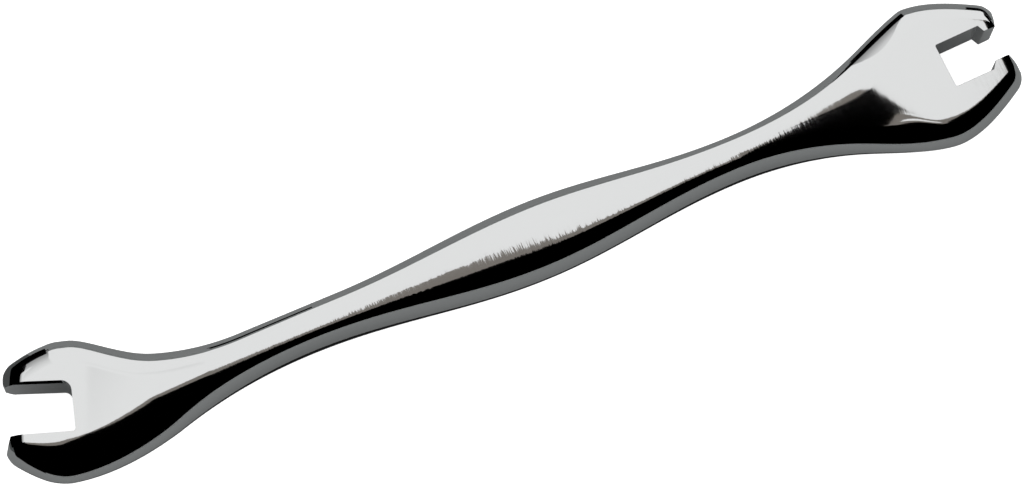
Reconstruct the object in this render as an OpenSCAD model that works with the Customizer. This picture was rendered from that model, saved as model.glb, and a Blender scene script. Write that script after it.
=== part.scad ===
// Spoke wrench with two jaws, forged in one piece and chrome plated.
// The x axis runs along the grip towards the four-sided jaw, y runs across it
// and z up through the thickness. The flat under the middle of the grip is at z = 0.

/* [Grip] */
// Width across the swell in the middle of the grip
swell_w = 9.4; // [8:0.1:11]
// Thickness of the grip and of both necks
grip_t = 7.1; // [5.8:0.1:8.5]
// Flat crown on top and underneath, as a share of the width there
crown_share = 0.05; // [0.03:0.01:0.2]
// Fullness of the section, where 2 is an ellipse and a higher power is squarer
fullness = 3.2; // [2.4:0.1:3.6]

/* [Open end neck] */
// Distance from the swell to the narrowest place on the near side
near_waist_x = 29.2; // [26:0.5:33]
// Half width of the neck on the near side
near_waist = 2.05; // [1.6:0.05:3]
// Radius of the near side where it widens towards the head
near_waist_r = 61; // [50:1:80]
// Distance from the swell to where the far side has come down to the neck
far_waist_x = 24.3; // [20:0.5:28]
// Length over which the far side then runs straight
far_waist_l = 12.2; // [8:0.5:14]
// Half width of the neck on the far side
far_waist = 3.27; // [2.4:0.05:3.8]
// Radius of the far side where it widens towards the head
far_waist_r = 29.2; // [25:1:40]

/* [Open jaw head] */
// Angle between this head and the grip
open_turn = 19.7; // [10:0.5:25]
// Distance from the swell to where the head's line crosses the grip's line
open_bend_x = 54.1; // [50:0.5:57]
// Radius of the bend between the two lines
open_bend_r = 41; // [30:1:50]
// Distance from that crossing to the middle of the head
open_head_out = 5; // [4.5:0.1:6.5]
// Width across the head
open_head_w = 16.95; // [15.5:0.1:19]
// Offset of the head's width towards the far side
open_head_offset = 0.9; // [0.4:0.05:1.3]
// Amount by which the far prong's outer side draws in towards its end
open_far_draw = 3; // [2:0.1:4]
// Amount by which the near prong's outer side draws in towards its end
open_near_draw = 3.2; // [2:0.1:4]
// Distance from the middle of the head to the ends of its prongs
open_reach = 7.05; // [6.4:0.1:8]
// Width of the open jaw, across the flats it grips
open_slot_w = 5.76; // [5:0.1:6.6]
// Depth of the open jaw
open_slot_depth = 8.1; // [7:0.1:9]
// Angle by which the open jaw is turned further than its head
open_slot_turn = 0.3; // [-2:0.5:2]
// Offset of the open jaw towards the far side
open_slot_offset = 0.95; // [0.4:0.05:1.3]
// Angle by which each wall of the open jaw leans outwards
open_slot_lean = 1; // [0:0.25:2]
// Radius in the far corner of the open jaw's floor
open_far_corner_r = 0.85; // [0.3:0.05:1.5]
// Radius in the near corner of the open jaw's floor
open_near_corner_r = 0.4; // [0.2:0.05:1.5]
// Bevel along the edges of the open jaw
open_bevel = 0.3; // [0.1:0.05:0.5]
// Width of the rounded edge round the far side of this head
open_far_edge = 3.4; // [2.6:0.1:3.8]
// Width of the rounded edge round the near side of this head
open_near_edge = 4.8; // [4:0.1:5.2]
// Width to which that edge narrows at the end of the near prong
open_near_tip_edge = 1.4; // [1:0.1:3]

/* [Four-sided jaw neck] */
// Distance from the swell to the narrowest place
square_waist_x = 25.2; // [22:0.5:28]
// Width of the neck
square_waist = 5.3; // [4.4:0.1:6.8]
// Offset of the neck towards the near side
square_waist_offset = 0.1; // [-0.3:0.05:0.3]
// Radius of the near side where it widens towards the head
square_near_r = 43.8; // [38:1:55]
// Radius of the far side where it widens towards the head
square_far_r = 51; // [42:1:60]

/* [Four-sided jaw head] */
// Distance from the swell to the middle of the head
square_head_x = 51.4; // [49:0.2:54]
// Width across the head
square_head_w = 18.6; // [16.5:0.1:20]
// Offset of the head's width towards the far side
square_head_offset = 0.37; // [0:0.05:0.7]
// Amount by which the far prong's outer side draws in towards its end
square_far_draw = 3.76; // [3:0.1:5]
// Amount by which the near prong's outer side draws in towards its end
square_near_draw = 4.12; // [3:0.1:5]
// Distance from the middle of the head to the ends of its prongs
square_reach = 10.3; // [9.6:0.1:11]
// Angle between the four-sided jaw and the grip
square_turn = 2.1; // [0:0.5:4]
// Width of the four-sided jaw, across the flats it grips
pocket_w = 5.6; // [4.8:0.1:6.4]
// Depth of the four-sided jaw, from its floor to its lips
pocket_depth = 5.7; // [5:0.1:6.1]
// Distance from the middle of the head on to the jaw's floor
pocket_floor = 1.8; // [1.2:0.1:2.4]
// Offset of the jaw towards the far side
pocket_offset = -0.08; // [-0.4:0.05:0.4]
// Width of the mouth between the lips, which a spoke passes through
mouth_w = 3.8; // [3:0.1:4.4]
// Slope of the far lip's inner face, as its length along the jaw
far_lip_slope = 0.4; // [0.2:0.05:0.8]
// Slope of the near lip's inner face, as its length along the jaw
near_lip_slope = 0.7; // [0.2:0.05:0.8]
// Radius in the corners of the jaw's floor
pocket_corner_r = 0.2; // [0.1:0.05:0.5]
// Width of the rounded edge round this head
square_edge = 2.8; // [2.2:0.1:3.4]
// Width to which that edge narrows at the end of the near prong
square_near_tip_edge = 1.8; // [1:0.1:2.6]

/* [Heads] */
// Thickness of both heads
head_t = 5.3; // [4.5:0.1:5.8]
// Width over which the necks run into the full width of the heads
shoulder = 3.1; // [1:0.1:4]
// Length over which the prongs of the open jaw are rounded down to their ends
open_nose = 2.4; // [1.6:0.1:3]
// Length over which the prongs of the four-sided jaw are rounded down
square_nose = 1.7; // [1.2:0.1:2.4]
// Share of a prong's length over which its outer side bends before it draws in
side_bend_share = 0.7; // [0.4:0.05:1]
// Angle by which the ground ends of the prongs slope back towards the jaw
end_slope = 21.5; // [10:1:25]
// Radius of the outer corners of the prongs, seen from above
tip_corner_r = 1.05; // [0.6:0.05:1.4]
// Height of the ground end of a prong, as a share of the head's thickness
tip_flat_share = 0.4; // [0.25:0.05:0.6]

/* [Run-out into the heads] */
// Distance from the swell to where the grip starts to thin to the four-sided jaw
square_thin_from = 25.7; // [22:0.1:28]
// Distance from the swell to where it meets the flat face of that head
square_thin_to = 44.5; // [43:0.5:47]
// Slant of that meeting line, as its run towards the head over a unit of width
square_slant_share = 0.53; // [0:0.01:0.7]
// Distance from the swell to where the grip starts to thin to the open jaw
open_thin_from = 41.5; // [38:0.5:44]
// Distance from the swell to where it meets the flat face of that head
open_thin_to = 57.9; // [55:0.1:59]
// Slant of that meeting line, as its run towards the head over a unit of width
open_slant_share = 0.25; // [0:0.01:0.5]
// Power by which the thinning gathers, where 1 is a straight slope
thin_power = 1.27; // [1.1:0.01:2]
// Share of the thinning that is rounded off where it meets the flat face
thin_soft_share = 0.13; // [0.03:0.01:0.3]
// Distance from the swell to where the grip's section starts to change to that of the four-sided jaw
square_section_from = 41; // [34:0.5:43]
// Distance from the swell to where it has the section of that head
square_section_to = 50; // [46:0.5:51]
// Distance from the swell to where the grip's section starts to change to that of the open jaw
open_section_from = 25.5; // [22:0.5:36]
// Distance from the swell to where it has the section of that head
open_section_to = 55.5; // [53:0.5:61]

/* [Hidden] */

chrome = [0.80, 0.81, 0.82];
// Extra length of a cut past the surface it starts from
overrun = 2;
// Distance over which the slope of an outline is measured
probe = head_t / 100;
// Steps round each quarter of a section, along the loft and round its ends
quarter_steps = 10;
loft_steps = 84;
nose_steps = 6;

// The spine is the middle line: straight along the grip, then a bend, then
// straight along the open jaw. A place on it is its distance from the swell,
// which is negative towards the open jaw.
bend_tangent = open_bend_r * tan(open_turn / 2);
bend_from = open_bend_x - bend_tangent;
bend_to = bend_from + open_bend_r * open_turn * PI / 180;
open_head_s = -(bend_to + open_head_out - bend_tangent);
open_end_s = open_head_s - open_reach;
square_end_s = square_head_x + square_reach;
open_nose_s = open_end_s + open_nose;
square_nose_s = square_end_s - square_nose;
// Half the width between the outer corners of the prongs
open_end_half = (open_head_w - open_far_draw - open_near_draw) / 2 - tip_corner_r;
square_end_half = (square_head_w - square_far_draw - square_near_draw) / 2 - tip_corner_r;
// A nose stops where its height has come down to the ground end
nose_turn = acos(tip_flat_share);

function ease(t) = let (c = min(1, max(0, t))) c * c * (3 - 2 * c);

// Angle of the spine and its place in plan
function spine_angle(s) = open_turn * min(1, max(0, (-s - bend_from) / (bend_to - bend_from)));
function spine_at(s) =
    let (
        a = spine_angle(s),
        before = max(s, -bend_from),
        after = max(0, -s - bend_to)
    )
    [
        before - open_bend_r * sin(a) - after * cos(a),
        open_bend_r * (1 - cos(a)) + after * sin(a)
    ];
function across(s) = let (a = spine_angle(s)) [sin(a), cos(a)];

// Half width from the swell to a waist, and from the waist towards its head
function grip_edge(d, waist_x, waist) =
    waist + (swell_w / 2 - waist) * (1 + cos(180 * d / waist_x)) / 2;
function neck_edge(d, waist, r) = waist + r - sqrt(pow(r, 2) - pow(min(d, r * 0.95), 2));
function flank(d, waist_x, straight, waist, r) = d < waist_x
    ? grip_edge(d, waist_x, waist)
    : neck_edge(max(0, d - waist_x - straight), waist, r);
// The smaller of two values, rounded off over a difference of soft where they meet
function rounded_min(a, b, soft) = min(a, b) - pow(max(0, soft - abs(a - b)), 2) / (4 * soft);
// Rounding of the outer corners of the prongs
function corner_cut(d) =
    let (c = min(1, max(0, 1 - d / tip_corner_r)))
    tip_corner_r * (1 - sqrt(1 - pow(c, 2)));
// Share of the draw at share t of a prong's length: it bends first, then runs straight
function draw_share(t) =
    (sqrt(1 + pow(t / side_bend_share, 2)) - 1) / (sqrt(1 + pow(1 / side_bend_share, 2)) - 1);
// Half width at distance d from the swell. It grows to head_half at the middle of
// the head, at head_d, and draws in again to the ends of the prongs, at end_d.
function half_w(d, waist_x, straight, waist, r, head_d, head_half, draw, end_d) =
    rounded_min(flank(min(d, head_d), waist_x, straight, waist, r), head_half, shoulder)
        - draw * draw_share(min(1, max(0, d - head_d) / (end_d - head_d)))
        - corner_cut(end_d - d);
function square_w(s, waist_offset, r, head_offset, draw) = half_w(
    s, square_waist_x, 0, square_waist / 2 + waist_offset, r,
    square_head_x, square_head_w / 2 + head_offset, draw, square_end_s
);
function open_w(s, waist_x, straight, waist, r, head_offset, draw) = half_w(
    -s, waist_x, straight, waist, r,
    -open_head_s, open_head_w / 2 + head_offset, draw, -open_end_s
);
function far_w(s) = s < 0
    ? open_w(s, far_waist_x, far_waist_l, far_waist, far_waist_r, open_head_offset, open_far_draw)
    : square_w(s, -square_waist_offset, square_far_r, square_head_offset, square_far_draw);
function near_w(s) = s < 0
    ? open_w(s, near_waist_x, 0, near_waist, near_waist_r, -open_head_offset, open_near_draw)
    : square_w(s, square_waist_offset, square_near_r, -square_head_offset, square_near_draw);

// Height above the middle plane, at place s and out from the spine: thinned to the flat
// faces of the heads, with a soft crease where it meets them, and rounded at the noses
function thinned(t) = rounded_min(pow(max(0, t), thin_power), 1, thin_soft_share);
function nose_height(d, nose) = sqrt(max(pow(tip_flat_share, 2), 1 - pow(min(1, max(0, d / nose)), 2)));
function half_t(s, out) =
    let (
        square_s = s + square_slant_share * out,
        open_s = s - open_slant_share * out,
        thin = s > 0
            ? thinned((square_s - square_thin_from) / (square_thin_to - square_thin_from))
            : thinned((-open_s - open_thin_from) / (open_thin_to - open_thin_from)),
        nose = s > 0
            ? nose_height(s - square_nose_s, square_nose / sin(nose_turn))
            : nose_height(open_nose_s - s, open_nose / sin(nose_turn))
    )
    (grip_t + (head_t - grip_t) * thin) / 2 * nose;

// Width of the rounded edge of a section: most of the half width on the grip,
// and a band round the heads, measured square to the outline
function edge_w(s, half, slope, head_edge, tip_edge) =
    let (
        round = (1 - crown_share) * half,
        edge = head_edge + (tip_edge - head_edge) * prong_share(s),
        band = min(edge * sqrt(1 + pow(slope, 2)), round)
    )
    round + (band - round) * head_share(s);
// Share of a prong's length that a section is at
function prong_share(s) =
    min(1, max(0, s > 0 ? (s - square_head_x) / square_reach : (open_head_s - s) / open_reach));
function head_share(s) = s > 0
    ? ease((s - square_section_from) / (square_section_to - square_section_from))
    : ease((-s - open_section_from) / (open_section_to - open_section_from));

// One section: far edge, crown, near edge and underside, as points across and up
function section(s) =
    let (
        far = far_w(s),
        near = near_w(s),
        far_slope = (far_w(s + probe) - far_w(s - probe)) / (2 * probe),
        near_slope = (near_w(s + probe) - near_w(s - probe)) / (2 * probe),
        far_edge = s > 0
            ? edge_w(s, far, far_slope, square_edge, square_edge)
            : edge_w(s, far, far_slope, open_far_edge, open_far_edge),
        near_edge = s > 0
            ? edge_w(s, near, near_slope, square_edge, square_near_tip_edge)
            : edge_w(s, near, near_slope, open_near_edge, open_near_tip_edge),
        power = fullness + (2 - fullness) * head_share(s),
        step = 90 / quarter_steps,
        inset = [for (i = [0:quarter_steps]) 1 - pow(max(0, cos(i * step)), 2 / power)],
        far_out = [for (i = [0:quarter_steps]) far - far_edge * inset[i]],
        near_out = [for (i = [0:quarter_steps]) near_edge * inset[i] - near],
        far_up = [for (i = [0:quarter_steps]) half_t(s, far_out[i]) * sin(i * step)],
        near_up = [for (i = [0:quarter_steps]) half_t(s, near_out[i]) * sin(i * step)]
    )
    concat(
        [for (i = [0:quarter_steps]) [far_out[i], far_up[i]]],
        [for (i = [quarter_steps:-1:0]) [near_out[i], near_up[i]]],
        [for (i = [1:quarter_steps]) [near_out[i], -near_up[i]]],
        [for (i = [quarter_steps:-1:1]) [far_out[i], -far_up[i]]]
    );
section_points = 4 * quarter_steps + 2;

// Places of the sections: close together at the two noses, even between them
stations = concat(
    [for (i = [nose_steps:-1:1]) open_nose_s - open_nose * sin(nose_turn * i / nose_steps) / sin(nose_turn)],
    [for (i = [0:loft_steps]) open_nose_s + (square_nose_s - open_nose_s) * i / loft_steps],
    [for (i = [1:nose_steps]) square_nose_s + square_nose * sin(nose_turn * i / nose_steps) / sin(nose_turn)]
);

// The forging: a loft of the sections along the spine
module blank() {
    rings = len(stations);
    points = [
        for (s = stations)
            let (origin = spine_at(s), side = across(s))
            for (p = section(s)) [origin.x + side.x * p.x, origin.y + side.y * p.x, p.y]
    ];
    skin = [
        for (i = [0:rings - 2], j = [0:section_points - 1])
            let (
                k = (j + 1) % section_points,
                a = i * section_points + j,
                b = a + section_points,
                c = i * section_points + k + section_points,
                d = i * section_points + k
            )
            each [[a, b, c], [a, c, d]]
    ];
    open_cap = [for (j = [0:section_points - 1]) j];
    square_cap = [for (j = [section_points - 1:-1:0]) (rings - 1) * section_points + j];
    polyhedron(points = points, faces = concat(skin, [open_cap, square_cap]), convexity = 6);
}

// Plan of the open jaw, with its floor at x = 0 and its mouth towards +x
module open_slot_plan() {
    half = open_slot_w / 2;
    run = open_slot_depth + overrun;
    polygon([
        [0, -half + open_near_corner_r],
        [open_near_corner_r, -half],
        [run, -half - run * tan(open_slot_lean)],
        [run, half + run * tan(open_slot_lean)],
        [open_far_corner_r, half],
        [0, half - open_far_corner_r]
    ]);
    translate([open_near_corner_r, open_near_corner_r - half])
        circle(r = open_near_corner_r, $fn = 48);
    translate([open_far_corner_r, half - open_far_corner_r])
        circle(r = open_far_corner_r, $fn = 48);
}

// The same plan widened all round at height z by the bevel there
module open_bevel_cut() {
    lift = head_t / 2 - open_bevel;
    spread = open_bevel + overrun;
    hull() {
        translate([0, 0, lift])
            linear_extrude(height = probe)
                open_slot_plan();
        translate([0, 0, lift + spread])
            linear_extrude(height = probe)
                offset(r = spread)
                    open_slot_plan();
    }
}

module open_slot() {
    floor_s = open_reach - open_slot_depth;
    rotate([0, 0, open_slot_turn])
        translate([floor_s, open_slot_offset, 0]) {
            linear_extrude(height = grip_t + overrun, center = true)
                open_slot_plan();
            open_bevel_cut();
            mirror([0, 0, 1])
                open_bevel_cut();
        }
}

// Wedge that grinds the ends of both prongs back towards the jaw. The ends are at
// x = 0 beforehand, and stay there at the outer corners, half the head's width away.
module end_grind(half, offset) {
    back = half * tan(end_slope);
    wide = half + overrun / tan(end_slope);
    translate([0, offset, 0])
        linear_extrude(height = grip_t + overrun, center = true)
            polygon([[-back, 0], [overrun, -wide], [overrun, wide]]);
}

// Places what is drawn about the middle of the open jaw's head, with x towards its mouth
module on_open_head() {
    head = spine_at(open_head_s);
    translate([head.x, head.y, 0])
        rotate([0, 0, 180 - open_turn])
            mirror([0, 1, 0])
                children();
}

// Plan of the four-sided jaw, with its floor at x = 0 and its mouth towards +x
module pocket_plan() {
    half = pocket_w / 2;
    mouth = mouth_w / 2;
    run = square_reach - pocket_floor + overrun;
    polygon([
        [0, -half + pocket_corner_r],
        [pocket_corner_r, -half],
        [pocket_depth - near_lip_slope, -half],
        [pocket_depth, -mouth],
        [run, -mouth],
        [run, mouth],
        [pocket_depth + far_lip_slope, mouth],
        [pocket_depth, half],
        [pocket_corner_r, half],
        [0, half - pocket_corner_r]
    ]);
    for (side = [-1, 1])
        translate([pocket_corner_r, side * (half - pocket_corner_r)])
            circle(r = pocket_corner_r, $fn = 48);
}

module square_pocket() {
    translate([0, pocket_offset, 0])
        rotate([0, 0, square_turn])
            translate([pocket_floor, 0, 0])
                linear_extrude(height = grip_t + overrun, center = true)
                    pocket_plan();
}

module wrench_body() {
    color(chrome)
        translate([0, 0, grip_t / 2])
            difference() {
                blank();
                on_open_head() {
                    open_slot();
                    translate([open_reach, 0, 0])
                        end_grind(open_end_half, open_head_offset);
                }
                translate([square_head_x, 0, 0]) {
                    square_pocket();
                    translate([square_reach, 0, 0])
                        end_grind(square_end_half, square_head_offset);
                }
            }
}

wrench_body();
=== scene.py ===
import math

import bmesh
import bpy
from mathutils import Matrix, Vector


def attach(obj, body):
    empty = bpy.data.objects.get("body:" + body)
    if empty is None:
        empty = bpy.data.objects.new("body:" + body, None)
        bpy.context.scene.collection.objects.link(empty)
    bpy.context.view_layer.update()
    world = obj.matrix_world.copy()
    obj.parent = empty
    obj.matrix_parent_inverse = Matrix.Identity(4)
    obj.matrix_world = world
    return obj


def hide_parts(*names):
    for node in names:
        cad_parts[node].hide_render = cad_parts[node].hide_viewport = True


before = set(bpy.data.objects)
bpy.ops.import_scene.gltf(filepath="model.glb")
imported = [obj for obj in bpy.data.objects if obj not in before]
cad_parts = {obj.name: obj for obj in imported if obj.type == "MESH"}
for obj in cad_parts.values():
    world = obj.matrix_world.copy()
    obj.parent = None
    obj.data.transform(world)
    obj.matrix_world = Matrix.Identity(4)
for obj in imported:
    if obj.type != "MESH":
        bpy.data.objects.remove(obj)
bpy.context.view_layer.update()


# Wrench body: one steel forging, as a swelling grip with a flattened head at each end.
# The skin is one sheet, rolled round the sections and closed, with each section laid
# square to the middle line. Both ends of the skin are then capped.
MM = 0.001
SWELL_W = 9.4
GRIP_T = 7.1
HEAD_T = 5.3
CROWN_SHARE = 0.05
# Powers of the section's superellipse: fuller on the grip, and a plain round on the heads
FULLNESS = 3.2
HEAD_FULLNESS = 2
SHOULDER = 3.1
THIN_POWER = 1.27
THIN_SOFT_SHARE = 0.13
SIDE_BEND_SHARE = 0.7
TIP_CORNER_R = 1.05
TIP_FLAT_SHARE = 0.4
ARC_SHARE = 0.95
# The open jaw's end, with the bend of the middle line just before its head. Waist is the
# neck's half width, r the radius of the arc beyond it, and draw what a prong loses by its tip
OPEN = {
    "bend_x": 54.1, "bend_r": 41.0, "turn": math.radians(19.7), "head_out": 5.0, "reach": 7.05,
    "head_w": 16.95, "head_offset": 0.9, "nose": 2.4,
    "thin_from": 41.5, "thin_to": 57.9, "slant_share": 0.25,
    "section_from": 25.5, "section_to": 55.5,
    "far": {
        "waist_x": 24.3, "straight": 12.2, "waist": 3.27, "r": 29.2,
        "draw": 3.0, "edge": 3.4, "tip_edge": 3.4,
    },
    "near": {
        "waist_x": 29.2, "straight": 0.0, "waist": 2.05, "r": 61.0,
        "draw": 3.2, "edge": 4.8, "tip_edge": 1.4,
    },
}
# The four-sided jaw's end, which is straight
SQUARE = {
    "head_x": 51.4, "reach": 10.3, "head_w": 18.6, "head_offset": 0.37, "nose": 1.7,
    "thin_from": 25.7, "thin_to": 44.5, "slant_share": 0.53,
    "section_from": 41.0, "section_to": 50.0,
    "far": {
        "waist_x": 25.2, "straight": 0.0, "waist": 2.55, "r": 51.0,
        "draw": 3.76, "edge": 2.8, "tip_edge": 2.8,
    },
    "near": {
        "waist_x": 25.2, "straight": 0.0, "waist": 2.75, "r": 43.8,
        "draw": 4.12, "edge": 2.8, "tip_edge": 1.8,
    },
}
SLOPE_STEP = HEAD_T / 100
SKIN_MERGE = 0.001
SKIN_RINGS = 361
NOSE_RINGS = 18
QUARTER_STEPS = 26
CROWN_STEPS = 12
HALF_STEPS = 2 * QUARTER_STEPS + CROWN_STEPS

bend_tangent = OPEN["bend_r"] * math.tan(OPEN["turn"] / 2)
bend_from = OPEN["bend_x"] - bend_tangent
bend_to = bend_from + OPEN["bend_r"] * OPEN["turn"]
OPEN["head_x"] = bend_to + OPEN["head_out"] - bend_tangent
open_end = -OPEN["head_x"] - OPEN["reach"]
square_end = SQUARE["head_x"] + SQUARE["reach"]
nose_turn = math.acos(TIP_FLAT_SHARE)


def clamped(t):
    return min(1.0, max(0.0, t))


def eased(t):
    c = clamped(t)
    return c * c * (3 - 2 * c)


def rounded_min(a, b, soft):
    return min(a, b) - max(0.0, soft - abs(a - b)) ** 2 / (4 * soft)


def spine_angle(s):
    return OPEN["turn"] * clamped((-s - bend_from) / (bend_to - bend_from))


def spine_point(s):
    turn = spine_angle(s)
    past = max(0.0, -s - bend_to)
    return Vector((
        max(s, -bend_from) - OPEN["bend_r"] * math.sin(turn) - past * math.cos(turn),
        OPEN["bend_r"] * (1 - math.cos(turn)) + past * math.sin(turn),
        0,
    ))


def spine_across(s):
    return Vector((math.sin(spine_angle(s)), math.cos(spine_angle(s)), 0))


def half_width(s, side):
    """Half width of the forging on its far or near side, s along from the swell."""
    end = SQUARE if s > 0 else OPEN
    edge = end[side]
    d = abs(s)
    along = min(d, end["head_x"])
    if along < edge["waist_x"]:
        swell = SWELL_W / 2 - edge["waist"]
        flank = edge["waist"] + swell * (1 + math.cos(math.pi * along / edge["waist_x"])) / 2
    else:
        run = max(0.0, along - edge["waist_x"] - edge["straight"])
        run = min(run, edge["r"] * ARC_SHARE)
        flank = edge["waist"] + edge["r"] - math.sqrt(edge["r"] ** 2 - run ** 2)
    offset = end["head_offset"] if side == "far" else -end["head_offset"]
    width = rounded_min(flank, end["head_w"] / 2 + offset, SHOULDER)
    prong = clamped((d - end["head_x"]) / end["reach"])
    drawn = math.hypot(1, prong / SIDE_BEND_SHARE) - 1
    width -= edge["draw"] * drawn / (math.hypot(1, 1 / SIDE_BEND_SHARE) - 1)
    corner = clamped(1 - (end["head_x"] + end["reach"] - d) / TIP_CORNER_R)
    return width - TIP_CORNER_R * (1 - math.sqrt(1 - corner * corner))


def half_height(s, out):
    """Half thickness: thinned on a slant to the flat faces of the heads, rounded at the noses."""
    end = SQUARE if s > 0 else OPEN
    slanted = abs(s) + end["slant_share"] * out
    gone = max(0.0, (slanted - end["thin_from"]) / (end["thin_to"] - end["thin_from"]))
    thin = rounded_min(gone ** THIN_POWER, 1.0, THIN_SOFT_SHARE)
    into_nose = abs(s) - (end["head_x"] + end["reach"] - end["nose"])
    nose = clamped(into_nose * math.sin(nose_turn) / end["nose"])
    return (GRIP_T + (HEAD_T - GRIP_T) * thin) / 2 * math.sqrt(1 - nose * nose)


def head_share(s):
    end = SQUARE if s > 0 else OPEN
    return eased((abs(s) - end["section_from"]) / (end["section_to"] - end["section_from"]))


def round_width(s, side):
    """Width of the rounded edge: most of the grip, and a band on the heads to their tips."""
    end = SQUARE if s > 0 else OPEN
    half = half_width(s, side)
    rise = half_width(s + SLOPE_STEP, side) - half_width(s - SLOPE_STEP, side)
    slope = rise / (2 * SLOPE_STEP)
    grip_round = (1 - CROWN_SHARE) * half
    prong = clamped((abs(s) - end["head_x"]) / end["reach"])
    edge = end[side]["edge"] + (end[side]["tip_edge"] - end[side]["edge"]) * prong
    band = min(edge * math.hypot(1, slope), grip_round)
    return grip_round + (band - grip_round) * head_share(s)


def ring_place(ring):
    """Place of a ring along the middle line, with the rings closing up round the noses."""
    low = open_end + OPEN["nose"]
    high = square_end - SQUARE["nose"]
    left = SKIN_RINGS - 1 - ring
    if ring < NOSE_RINGS:
        share = math.sin(nose_turn * (1 - ring / NOSE_RINGS)) / math.sin(nose_turn)
        return low - OPEN["nose"] * share
    if left < NOSE_RINGS:
        share = math.sin(nose_turn * (1 - left / NOSE_RINGS)) / math.sin(nose_turn)
        return high + SQUARE["nose"] * share
    return low + (high - low) * (ring - NOSE_RINGS) / (SKIN_RINGS - 1 - 2 * NOSE_RINGS)


def section_point(s, step, sizes):
    """Point of the section: far edge, crown, near edge and back along the underside."""
    far, near, far_round, near_round, power = sizes
    upper = step <= HALF_STEPS
    step = step if upper else 2 * HALF_STEPS - step
    on_band = min(step, HALF_STEPS - step, QUARTER_STEPS) / QUARTER_STEPS
    turn = on_band * math.pi / 2
    inset = 1 - max(0.0, math.cos(turn)) ** (2 / power)
    over = clamped((step - QUARTER_STEPS) / CROWN_STEPS)
    over = (1 - math.cos(over * math.pi)) / 2
    out = (far - far_round * inset) * (1 - over) + (near_round * inset - near) * over
    rise = half_height(s, out) * math.sin(turn)
    return spine_point(s) + spine_across(s) * out + Vector((0, 0, rise if upper else -rise))


def wrench_skin():
    section_steps = 2 * HALF_STEPS
    bm = bmesh.new()
    bmesh.ops.create_grid(bm, x_segments=SKIN_RINGS - 1, y_segments=section_steps, size=1)
    rings = {}
    for v in bm.verts:
        ring = round((v.co.x + 1) / 2 * (SKIN_RINGS - 1))
        step = round((v.co.y + 1) / 2 * section_steps) % section_steps
        rings.setdefault(ring, []).append((v, step))
    for ring, verts in rings.items():
        s = ring_place(ring)
        sizes = (
            half_width(s, "far"), half_width(s, "near"),
            round_width(s, "far"), round_width(s, "near"),
            FULLNESS + (HEAD_FULLNESS - FULLNESS) * head_share(s),
        )
        for v, step in verts:
            v.co = (section_point(s, step, sizes) + Vector((0, 0, GRIP_T / 2))) * MM
    bmesh.ops.remove_doubles(bm, verts=bm.verts, dist=SKIN_MERGE * MM)
    bmesh.ops.holes_fill(bm, edges=bm.edges, sides=0)
    bmesh.ops.recalc_face_normals(bm, faces=bm.faces)
    return bm


# Jaws: both are cut right through the heads after forging, and the ends of the prongs are
# ground back towards them. The open jaw's far rim is bevelled, and the four-sided jaw's rims
# are only broken. Each cutter is a stack of outlines, and a boolean takes it out.
OVERRUN = 2.0
END_SLOPE = math.radians(21.5)
OPEN_SLOT = {
    "w": 5.76, "depth": 8.1, "offset": 0.95, "turn": math.radians(0.3), "lean": math.radians(1),
    "far_r": 0.85, "near_r": 0.4, "bevel": 0.3,
}
POCKET = {
    "w": 5.6, "depth": 5.7, "floor": 1.8, "offset": -0.08, "turn": math.radians(2.1),
    "mouth": 3.8, "far_slope": 0.4, "near_slope": 0.7, "corner_r": 0.2, "bevel": 0.03,
}
CUT_HALF = GRIP_T / 2 + OVERRUN
CORNER_STEPS = 8
RIM_OVERLAP = 0.02


def outline_face(points):
    bm = bmesh.new()
    corners = [bm.verts.new((x, y, 0)) for x, y in points]
    for corner, following in zip(corners, corners[1:] + corners[:1]):
        bm.edges.new((corner, following))
    bmesh.ops.edgeloop_fill(bm, edges=bm.edges)
    return bm


def round_corner(bm, place, radius):
    corner = min(bm.verts, key=lambda v: (v.co.xy - Vector(place)).length)
    bmesh.ops.bevel(
        bm, geom=[corner], offset=radius, offset_type="OFFSET", segments=CORNER_STEPS, profile=0.5,
        affect="VERTICES", clamp_overlap=True, material=-1,
    )


def open_slot_outline(grown):
    """Plan of the open jaw, with its floor at x = 0. The bevel grows its far wall only."""
    slot = OPEN_SLOT
    half = slot["w"] / 2
    run = slot["depth"] + OVERRUN
    wide = half + run * math.tan(slot["lean"])
    bm = outline_face([(0, -half), (run, -wide), (run, wide + grown), (0, half + grown)])
    round_corner(bm, (0, -half), slot["near_r"])
    round_corner(bm, (0, half + grown), slot["far_r"] + grown)
    shift = Matrix.Translation((OPEN["reach"] - slot["depth"], slot["offset"], 0))
    bm.transform(Matrix.Rotation(slot["turn"], 4, "Z") @ shift)
    return bm


def pocket_outline(grown):
    """Plan of the four-sided jaw with its lips, grown all round by a bevel."""
    pocket = POCKET
    half = pocket["w"] / 2 + grown
    mouth = pocket["mouth"] / 2 + grown
    depth = pocket["depth"] + grown / 2
    run = SQUARE["reach"] - pocket["floor"] + OVERRUN
    bm = outline_face([
        (-grown, -half), (depth - pocket["near_slope"], -half), (depth, -mouth), (run, -mouth),
        (run, mouth), (depth + pocket["far_slope"], mouth), (depth, half), (-grown, half),
    ])
    round_corner(bm, (-grown, -half), pocket["corner_r"] + grown)
    round_corner(bm, (-grown, half), pocket["corner_r"] + grown)
    aside = Matrix.Translation((0, pocket["offset"], 0))
    shift = Matrix.Translation((pocket["floor"], 0, 0))
    bm.transform(aside @ Matrix.Rotation(pocket["turn"], 4, "Z") @ shift)
    return bm


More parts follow.
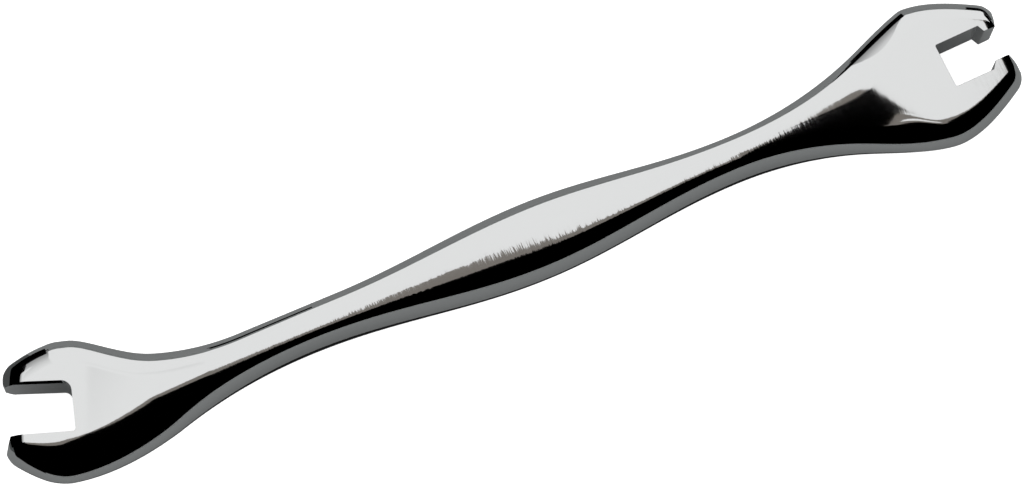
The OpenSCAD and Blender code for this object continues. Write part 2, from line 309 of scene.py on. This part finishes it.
def stacked(levels):
    """Closes up a stack of outlines with equal corners, as (height, bmesh) from the bottom."""
    bm = bmesh.new()
    for height, outline in levels:
        bmesh.ops.translate(outline, verts=outline.verts, vec=(0, 0, height))
        sheet = bpy.data.meshes.new("level")
        outline.to_mesh(sheet)
        outline.free()
        bm.from_mesh(sheet)
        bpy.data.meshes.remove(sheet)
    plates = bm.faces[:]
    for lower, upper in zip(plates, plates[1:]):
        bmesh.ops.bridge_loops(bm, edges=list(lower.edges) + list(upper.edges))
    bmesh.ops.delete(bm, geom=plates[1:-1], context="FACES_ONLY")
    bmesh.ops.recalc_face_normals(bm, faces=bm.faces)
    return bm


def jaw_cutter(outline, bevel):
    """Cutter of a jaw: its outline right through, flared at both faces of the head."""
    flared = bevel + RIM_OVERLAP
    face = HEAD_T / 2
    return stacked([
        (-CUT_HALF, outline(flared)), (-face - RIM_OVERLAP, outline(flared)),
        (bevel - face, outline(0)), (face - bevel, outline(0)),
        (face + RIM_OVERLAP, outline(flared)), (CUT_HALF, outline(flared)),
    ])


def end_grind_cutter(end):
    half = (end["head_w"] - end["far"]["draw"] - end["near"]["draw"]) / 2 - TIP_CORNER_R
    wide = half + OVERRUN / math.tan(END_SLOPE)
    wedge = [(-half * math.tan(END_SLOPE), 0), (OVERRUN, -wide), (OVERRUN, wide)]
    bm = stacked([(-CUT_HALF, outline_face(wedge)), (CUT_HALF, outline_face(wedge))])
    bmesh.ops.translate(bm, verts=bm.verts, vec=(end["reach"], end["head_offset"], 0))
    return bm


def on_head(bm, place):
    """Moves what is drawn about the middle of a head, x towards its mouth, to its place."""
    bm.transform(Matrix.Scale(MM, 4) @ Matrix.Translation((0, 0, GRIP_T / 2)) @ place)
    bmesh.ops.recalc_face_normals(bm, faces=bm.faces)
    return bm


def new_object(name, bm):
    mesh = bpy.data.meshes.new(name)
    bm.to_mesh(mesh)
    bm.free()
    piece = bpy.data.objects.new(name, mesh)
    bpy.context.scene.collection.objects.link(piece)
    return piece


open_head = spine_point(-OPEN["head_x"])
mouth_way = Vector((-math.cos(OPEN["turn"]), math.sin(OPEN["turn"]), 0))
across_way = spine_across(-OPEN["head_x"])
open_place = Matrix((
    (mouth_way.x, across_way.x, 0, open_head.x),
    (mouth_way.y, across_way.y, 0, open_head.y),
    (0, 0, 1, 0),
    (0, 0, 0, 1),
))
square_place = Matrix.Translation((SQUARE["head_x"], 0, 0))

body = new_object("wrench", wrench_skin())
cutters = [
    new_object("open_slot", on_head(jaw_cutter(open_slot_outline, OPEN_SLOT["bevel"]), open_place)),
    new_object("open_ends", on_head(end_grind_cutter(OPEN), open_place)),
    new_object("pocket", on_head(jaw_cutter(pocket_outline, POCKET["bevel"]), square_place)),
    new_object("square_ends", on_head(end_grind_cutter(SQUARE), square_place)),
]
for cutter in cutters:
    cut = body.modifiers.new(cutter.name, "BOOLEAN")
    cut.operation = "DIFFERENCE"
    cut.solver = "EXACT"
    cut.object = cutter
cut_body = body.evaluated_get(bpy.context.evaluated_depsgraph_get())
cut_mesh = bpy.data.meshes.new_from_object(cut_body)
body.modifiers.clear()
body.data = cut_mesh
for cutter in cutters:
    bpy.data.objects.remove(cutter)


# Edges of the cuts: a cut leaves a crisp edge, so faces that meet more sharply than SHARP
# are parted there. The rest of the skin was forged and then polished, and is smooth.
SHARP = math.radians(28)
CUT_MERGE = 0.02

bm = bmesh.new()
bm.from_mesh(body.data)
bmesh.ops.remove_doubles(bm, verts=bm.verts, dist=CUT_MERGE * MM)
for face in bm.faces:
    face.smooth = True
for edge in bm.edges:
    edge.smooth = not edge.is_manifold or edge.calc_face_angle() < SHARP
bm.to_mesh(body.data)
bm.free()


# Chrome plate: decorative chrome over polished steel, which mirrors the room a little darker.
# A belt was drawn across the grip before plating, and its fine lines comb the edges of the
# reflections. The heads were polished finer, so that the lines are fainter there.
def linear(hex_colour):
    """Linear colour, with its alpha, of an sRGB hex value."""
    channels = [int(hex_colour[i:i + 2], 16) / 255 for i in (1, 3, 5)]
    return [c / 12.92 if c <= 0.04045 else ((c + 0.055) / 1.055) ** 2.4 for c in channels] + [1.0]


def add_node(tree, kind, inputs, **settings):
    """Adds a node. Each input is given by name or number, as a value or another's output."""
    node = tree.nodes.new(kind)
    for name, value in settings.items():
        setattr(node, name, value)
    for key, value in inputs.items():
        if isinstance(value, bpy.types.NodeSocket):
            tree.links.new(value, node.inputs[key])
        else:
            node.inputs[key].default_value = value
    return node


def new_material(name):
    material = bpy.data.materials.new(name)
    material.use_nodes = True
    material.node_tree.nodes.clear()
    return material, material.node_tree


CHROME = "#C9CACA"
CHROME_ROUGHNESS = 0.045
# Belt lines are finer than a pixel of the render, so they are drawn as coarse as they need
# to show. They fade on the way to the heads, to the share that is left of them there
LINE_SPACING = 0.16
LINE_LENGTH = 2.5
LINE_TILT = 0.03
LINE_DETAIL = 1.0
HEAD_LINES_SHARE = 0.25
LINES_FADE = (26, 42)
NOISE_MIDDLE = (0.5, 0.5, 0.5)

chrome, tree = new_material("polished_chrome_plate")
place = add_node(tree, "ShaderNodeTexCoord", {})
stretched = add_node(tree, "ShaderNodeMapping", {
    "Vector": place.outputs["Object"],
    "Scale": (1 / LINE_SPACING / MM, 1 / LINE_LENGTH / MM, 1 / LINE_LENGTH / MM),
})
lines = add_node(tree, "ShaderNodeTexNoise", {
    "Vector": stretched.outputs[0], "Scale": 1.0, "Detail": LINE_DETAIL,
})
centred = add_node(tree, "ShaderNodeVectorMath", {
    0: lines.outputs["Color"], 1: NOISE_MIDDLE,
}, operation="SUBTRACT")
split = add_node(tree, "ShaderNodeSeparateXYZ", {0: place.outputs["Object"]})
from_swell = add_node(tree, "ShaderNodeMath", {0: split.outputs["X"]}, operation="ABSOLUTE")
strength = add_node(tree, "ShaderNodeMapRange", {
    "Value": from_swell.outputs[0],
    "From Min": LINES_FADE[0] * MM, "From Max": LINES_FADE[1] * MM,
    "To Min": LINE_TILT, "To Max": LINE_TILT * HEAD_LINES_SHARE,
})
tilt = add_node(tree, "ShaderNodeVectorMath", {
    0: centred.outputs[0], "Scale": strength.outputs[0],
}, operation="SCALE")
smooth = add_node(tree, "ShaderNodeNewGeometry", {})
tilted = add_node(tree, "ShaderNodeVectorMath", {
    0: smooth.outputs["Normal"], 1: tilt.outputs[0],
}, operation="ADD")
drawn = add_node(tree, "ShaderNodeVectorMath", {0: tilted.outputs[0]}, operation="NORMALIZE")
shader = add_node(tree, "ShaderNodeBsdfPrincipled", {
    "Base Color": linear(CHROME), "Metallic": 1.0, "Roughness": CHROME_ROUGHNESS,
    "Normal": drawn.outputs[0],
})
add_node(tree, "ShaderNodeOutputMaterial", {"Surface": shader.outputs[0]})
body.data.materials.append(chrome)

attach(body, "root")
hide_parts("wrench_body")


# Floor: a plain sheet of matt, pale paper that the wrench lies on, under an even white
# room. It is white to the eye, apart from the object's shadow.
FLOOR_SIZE = 3000
FLOOR_GLOW = 0.8
PAPER = "#F4F4F4"
WORLD_WHITE = "#FFFFFF"

bm = bmesh.new()
bmesh.ops.create_grid(bm, x_segments=1, y_segments=1, size=FLOOR_SIZE / 2 * MM)
floor = new_object("floor", bm)
paper, tree = new_material("pale_paper")
rays = add_node(tree, "ShaderNodeLightPath", {})
seen = add_node(tree, "ShaderNodeMath", {
    0: rays.outputs["Is Camera Ray"], 1: rays.outputs["Is Glossy Ray"],
}, operation="MAXIMUM")
seen = add_node(tree, "ShaderNodeMath", {
    0: seen.outputs[0], 1: rays.outputs["Is Transmission Ray"],
}, operation="MAXIMUM")
lift = add_node(tree, "ShaderNodeMath", {0: seen.outputs[0], 1: FLOOR_GLOW}, operation="MULTIPLY")
matt = add_node(tree, "ShaderNodeBsdfDiffuse", {"Color": linear(PAPER)})
glow = add_node(tree, "ShaderNodeEmission", {"Strength": lift.outputs[0]})
sheet = add_node(tree, "ShaderNodeAddShader", {0: matt.outputs[0], 1: glow.outputs[0]})
add_node(tree, "ShaderNodeOutputMaterial", {"Surface": sheet.outputs[0]})
floor.data.materials.append(paper)

world = bpy.data.worlds.new("studio")
world.use_nodes = True
world.node_tree.nodes["Background"].inputs["Color"].default_value = linear(WORLD_WHITE)
bpy.context.scene.world = world


# White card: card stock that hangs over the wrench and comes down behind it. Its light is
# painted: it glows with no lamp on it, evenly over the wrench and fading towards the back, the
# left and the foot of the left sheet. Its near edge is cut to the outline that the reflections
# call for, and it gives the chrome its bright faces. Only reflections see it and what follows.
CARD_WHITE = "#FFFFFF"
CARD_GLOW = 1.25
CARD_BACK_GLOW = 0.85
SIDE_CARD_GLOW = 0.45
LEFT_SHEET_GLOW = 0.22
CARD_H = 1305
CARD_BACK = 1500
CARD_LEFT = -110
CARD_RIGHT = 1500
CARD_PARTING = 50
CARD_CORNER = 310
FADE_FROM = 500
SIDE_CARD_LEFT = -400
SIDE_CARD_CORNER = 400
RIGHT_SHEET_END = 346
LEFT_SHEET_END = 100
LEFT_SHEET_LEFT = -170
WHITE_CARD = [
    (CARD_LEFT, FADE_FROM), (CARD_LEFT, CARD_CORNER), (-85, 288), (-30, 272), (60, 262),
    (90, 215), (115, 155), (128, 180), (150, 280), (190, 285), (210, 200), (225, 100),
    (240, 30), (270, -40), (282, 20), (296, 200), (345, 255), (366, 240), (371, 258),
    (392, 262), (406, 290), (426, 322), (452, 375), (492, 455), (550, 560), (CARD_RIGHT, 560),
    (CARD_RIGHT, CARD_BACK), (CARD_PARTING, CARD_BACK), (CARD_PARTING, FADE_FROM),
]
FADING_CARD = [
    (CARD_LEFT, FADE_FROM), (CARD_PARTING, FADE_FROM),
    (CARD_PARTING, CARD_BACK), (CARD_LEFT, CARD_BACK),
]
SIDE_CARD = [
    (SIDE_CARD_LEFT, SIDE_CARD_CORNER), (CARD_LEFT, CARD_CORNER),
    (CARD_LEFT, CARD_BACK), (SIDE_CARD_LEFT, CARD_BACK),
]


def glossy_only(piece, material):
    """Puts up a piece of the studio that only reflections see."""
    piece.data.materials.append(material)
    piece.visible_camera = False
    piece.visible_diffuse = False
    piece.visible_transmission = False
    piece.visible_shadow = False


def glow_stock(name, colour, glow, fade=None):
    """Stock with painted light, a glow that is even or fades along an axis:
    (axis, from, to, glow there).
    """
    material, tree = new_material(name)
    strength = glow
    if fade:
        axis, start, end, end_glow = fade
        place = add_node(tree, "ShaderNodeTexCoord", {})
        split = add_node(tree, "ShaderNodeSeparateXYZ", {0: place.outputs["Object"]})
        strength = add_node(tree, "ShaderNodeMapRange", {
            "Value": split.outputs[axis], "From Min": start * MM, "From Max": end * MM,
            "To Min": glow, "To Max": end_glow,
        }).outputs[0]
    light = add_node(tree, "ShaderNodeEmission", {"Color": linear(colour), "Strength": strength})
    add_node(tree, "ShaderNodeOutputMaterial", {"Surface": light.outputs[0]})
    return material


def flat_sheet(points, height):
    """Level sheet, with its corners as seen from above."""
    bm = outline_face(points)
    bmesh.ops.translate(bm, verts=bm.verts, vec=(0, 0, height))
    bmesh.ops.scale(bm, verts=bm.verts, vec=(MM, MM, MM))
    return bm


def back_sheet(left, right, end_height):
    """Sheet that hangs down from the back of the white card."""
    half_w = (right - left) / 2
    half_drop = (CARD_H - end_height) / 2
    bm = bmesh.new()
    bmesh.ops.create_grid(bm, x_segments=1, y_segments=1, size=1)
    bm.transform(
        Matrix.Translation(Vector((left + half_w, CARD_BACK, CARD_H - half_drop)) * MM)
        @ Matrix.Rotation(math.pi / 2, 4, "X")
        @ Matrix.Diagonal((half_w * MM, half_drop * MM, 1, 1))
    )
    return bm


card_stock = glow_stock("white_card_stock", CARD_WHITE, CARD_GLOW)
glossy_only(new_object("white_card", flat_sheet(WHITE_CARD, CARD_H)), card_stock)
right_sheet = back_sheet(CARD_PARTING, CARD_RIGHT, RIGHT_SHEET_END)
glossy_only(new_object("right_sheet", right_sheet), card_stock)
# Painted fall-off: the glow fades towards the back, to the left on the side card, and down the left
# sheet.
back_fade = ("Y", FADE_FROM, CARD_BACK, CARD_BACK_GLOW)
fading_stock = glow_stock("fading_card_stock", CARD_WHITE, CARD_GLOW, back_fade)
glossy_only(new_object("fading_card", flat_sheet(FADING_CARD, CARD_H)), fading_stock)
side_fade = ("X", CARD_LEFT, SIDE_CARD_LEFT, SIDE_CARD_GLOW)
side_stock = glow_stock("side_card_stock", CARD_WHITE, CARD_GLOW, side_fade)
glossy_only(new_object("side_card", flat_sheet(SIDE_CARD, CARD_H)), side_stock)
down_fade = ("Z", CARD_H, LEFT_SHEET_END, LEFT_SHEET_GLOW)
left_stock = glow_stock("left_sheet_stock", CARD_WHITE, CARD_BACK_GLOW, down_fade)
left_sheet = back_sheet(LEFT_SHEET_LEFT, CARD_PARTING, LEFT_SHEET_END)
glossy_only(new_object("left_sheet", left_sheet), left_stock)


# Wall: brown-grey emulsion paint, seen past the near edge of the card. Its light is painted:
# it glows with no lamp on it. It mirrors as the thin fringe along the upper edge of the dark
# reflection.
WALL_PAINT = "#938D87"
WALL_GLOW = 1.0
WALL_GAP = 20
WALL = [
    (-121, 285), (-89, 216), (-28, 140), (60, 60), (90, 30), (112, -110), (125, -120),
    (140, -50), (160, -10), (187, 0), (210, -94), (241, -180), (270, -200), (285, -220),
    (300, -120), (357, 75), (405, 249), (436, 321), (465, 398), (516, 428), (600, 480),
    (600, 700), (-121, 700),
]

wall_glow_stock = glow_stock("brown_grey_wall", WALL_PAINT, WALL_GLOW)
glossy_only(new_object("wall", flat_sheet(WALL, CARD_H + WALL_GAP)), wall_glow_stock)


# Dark room: black stage cloth, which gives back no light, hangs all round the studio. It
# mirrors as the deep black along the grip and the heads.
ROOM_BLACK = "#000000"
ROOM_GLOW = 0.0
ROOM_R = 2500
ROOM_STEPS = 3

room_cloth = glow_stock("dark_room_cloth", ROOM_BLACK, ROOM_GLOW)
bm = bmesh.new()
bmesh.ops.create_icosphere(bm, subdivisions=ROOM_STEPS, radius=ROOM_R * MM)
glossy_only(new_object("dark_room", bm), room_cloth)


# Table: matt grey wool felt, turned up at its near and right sides and at the right of its
# far side. It mirrors as the grey rim all round the wrench and on the walls of the jaws.
FELT_GREY = "#939595"
FELT_SIZE = 3000
FELT_CELLS = 25
FELT_LIFT = 0.02
FELT_RIM_H = 216
FELT_SLACK = 1


def plain_matt(name, colour):
    material, tree = new_material(name)
    matt = add_node(tree, "ShaderNodeBsdfDiffuse", {"Color": linear(colour)})
    add_node(tree, "ShaderNodeOutputMaterial", {"Surface": matt.outputs[0]})
    return material


def turned_up(bm, edges):
    """Extrudes the edges, and gives the new corners, which are still to be raised."""
    made = bmesh.ops.extrude_edge_only(bm, edges=edges)
    return [g for g in made["geom"] if isinstance(g, bmesh.types.BMVert)]


bm = bmesh.new()
bmesh.ops.create_grid(bm, x_segments=FELT_CELLS, y_segments=1, size=FELT_SIZE / 2 * MM)
bmesh.ops.translate(bm, verts=bm.verts, vec=(0, 0, FELT_LIFT * MM))
rim_edges = []
for edge in bm.edges:
    middle = (edge.verts[0].co + edge.verts[1].co) / 2
    far_right = middle.y > 0 and middle.x > CARD_PARTING * MM
    right_side = middle.x > (FELT_SIZE / 2 - FELT_SLACK) * MM
    if edge.is_boundary and (middle.y < 0 or far_right or right_side):
        rim_edges.append(edge)
for v in turned_up(bm, rim_edges):
    v.co.z += (RIGHT_SHEET_END if v.co.y > 0 else FELT_RIM_H) * MM
glossy_only(new_object("table_felt", bm), plain_matt("grey_felt", FELT_GREY))


# Beside the wrench, laid on the felt: a darker grey patch, which darkens the rims at the open
# jaw's tips, and a dark strip that is painted shade, the wrench's contact shadow on the table as
# the chrome mirrors it, which draws the thin dark line along the near outline.
PATCH_GREY = "#585A5A"
CONTACT_SHADE_DARK = "#242424"
ON_FELT_LIFT = 2 * FELT_LIFT
FAR_PATCH_CORNERS = [(-60, 15), (-112, 1500), (-1500, 1500), (-1500, 4), (-76, 4)]
STRIP_STEPS = 60
STRIP_W = 1.2
STRIP_END = 46

# A darker grey sheet over the felt beyond the open jaw's far side, which only reflections see.
grey_patch = plain_matt("grey_patch", PATCH_GREY)
glossy_only(new_object("far_grey_patch", flat_sheet(FAR_PATCH_CORNERS, ON_FELT_LIFT)), grey_patch)
# Painted shade: the dark strip stands in for the wrench's contact shadow on the table.
bm = bmesh.new()
bmesh.ops.create_grid(bm, x_segments=STRIP_STEPS, y_segments=1, size=1)
for v in bm.verts:
    s = open_end + (STRIP_END - open_end) * (v.co.x + 1) / 2
    out = half_width(s, "near") + STRIP_W * (v.co.y + 1) / 2
    v.co = (spine_point(s) - spine_across(s) * out + Vector((0, 0, ON_FELT_LIFT))) * MM
glossy_only(new_object("contact_shade_strip", bm), plain_matt("painted_contact_shade", CONTACT_SHADE_DARK))


# Boards: low ones, covered in the black stage cloth, that stand beyond the wrench's far side
# and ends. They mirror as the short black bands inside the rims.
BOARDS = {
    "left_board": {"foot": [(-90, 8), (-82, 22), (-57, 29)], "h": 13},
    "neck_board": {"foot": [(-37, 26), (-25, 26)], "h": 6.5},
    "right_board": {"foot": [(42.5, 25), (52.5, 27.5)], "h": 11},
    "tip_board": {"foot": [(71.5, 25), (76, 20), (79, 10)], "h": 9},
}


def standing_board(foot, height):
    bm = bmesh.new()
    low = [bm.verts.new((x * MM, y * MM, ON_FELT_LIFT * MM)) for x, y in foot]
    feet = [bm.edges.new(pair) for pair in zip(low, low[1:])]
    for v in turned_up(bm, feet):
        v.co.z += height * MM
    return bm


for name, board in BOARDS.items():
    glossy_only(new_object(name, standing_board(board["foot"], board["h"])), room_cloth)


# Camera: a long lens from almost straight above, turned so that the wrench lies aslant.
# It stands where the outline and the walls of both jaws fit the photograph.
CAMERA_TILT = math.radians(15.765)
CAMERA_WAY = math.radians(-124.02)
CAMERA_ROLL = math.radians(22.5)
CAMERA_AWAY = 609.4
AIM = Vector((-2.541, 0.945, GRIP_T / 2))
PX_PER_MM = 8.5175
IMAGE_W = 1024
CLIP_NEAR = 10
CLIP_FAR = 10000

back = Vector((
    math.sin(CAMERA_TILT) * math.cos(CAMERA_WAY),
    math.sin(CAMERA_TILT) * math.sin(CAMERA_WAY),
    math.cos(CAMERA_TILT),
))
flat_right = (Vector((1, 0, 0)) - back * back.x).normalized()
flat_up = back.cross(flat_right)
right = flat_right * math.cos(CAMERA_ROLL) - flat_up * math.sin(CAMERA_ROLL)
up = flat_right * math.sin(CAMERA_ROLL) + flat_up * math.cos(CAMERA_ROLL)
camera = bpy.data.objects.new("camera", bpy.data.cameras.new("camera"))
bpy.context.scene.collection.objects.link(camera)
camera.matrix_world = Matrix.Translation((AIM + back * CAMERA_AWAY) * MM) @ Matrix((
    (right.x, up.x, back.x, 0),
    (right.y, up.y, back.y, 0),
    (right.z, up.z, back.z, 0),
    (0, 0, 0, 1),
))
camera.data.lens = PX_PER_MM * CAMERA_AWAY / IMAGE_W * camera.data.sensor_width
camera.data.clip_start = CLIP_NEAR * MM
camera.data.clip_end = CLIP_FAR * MM
bpy.context.scene.camera = camera
bpy.context.scene.view_settings.view_transform = "Standard"
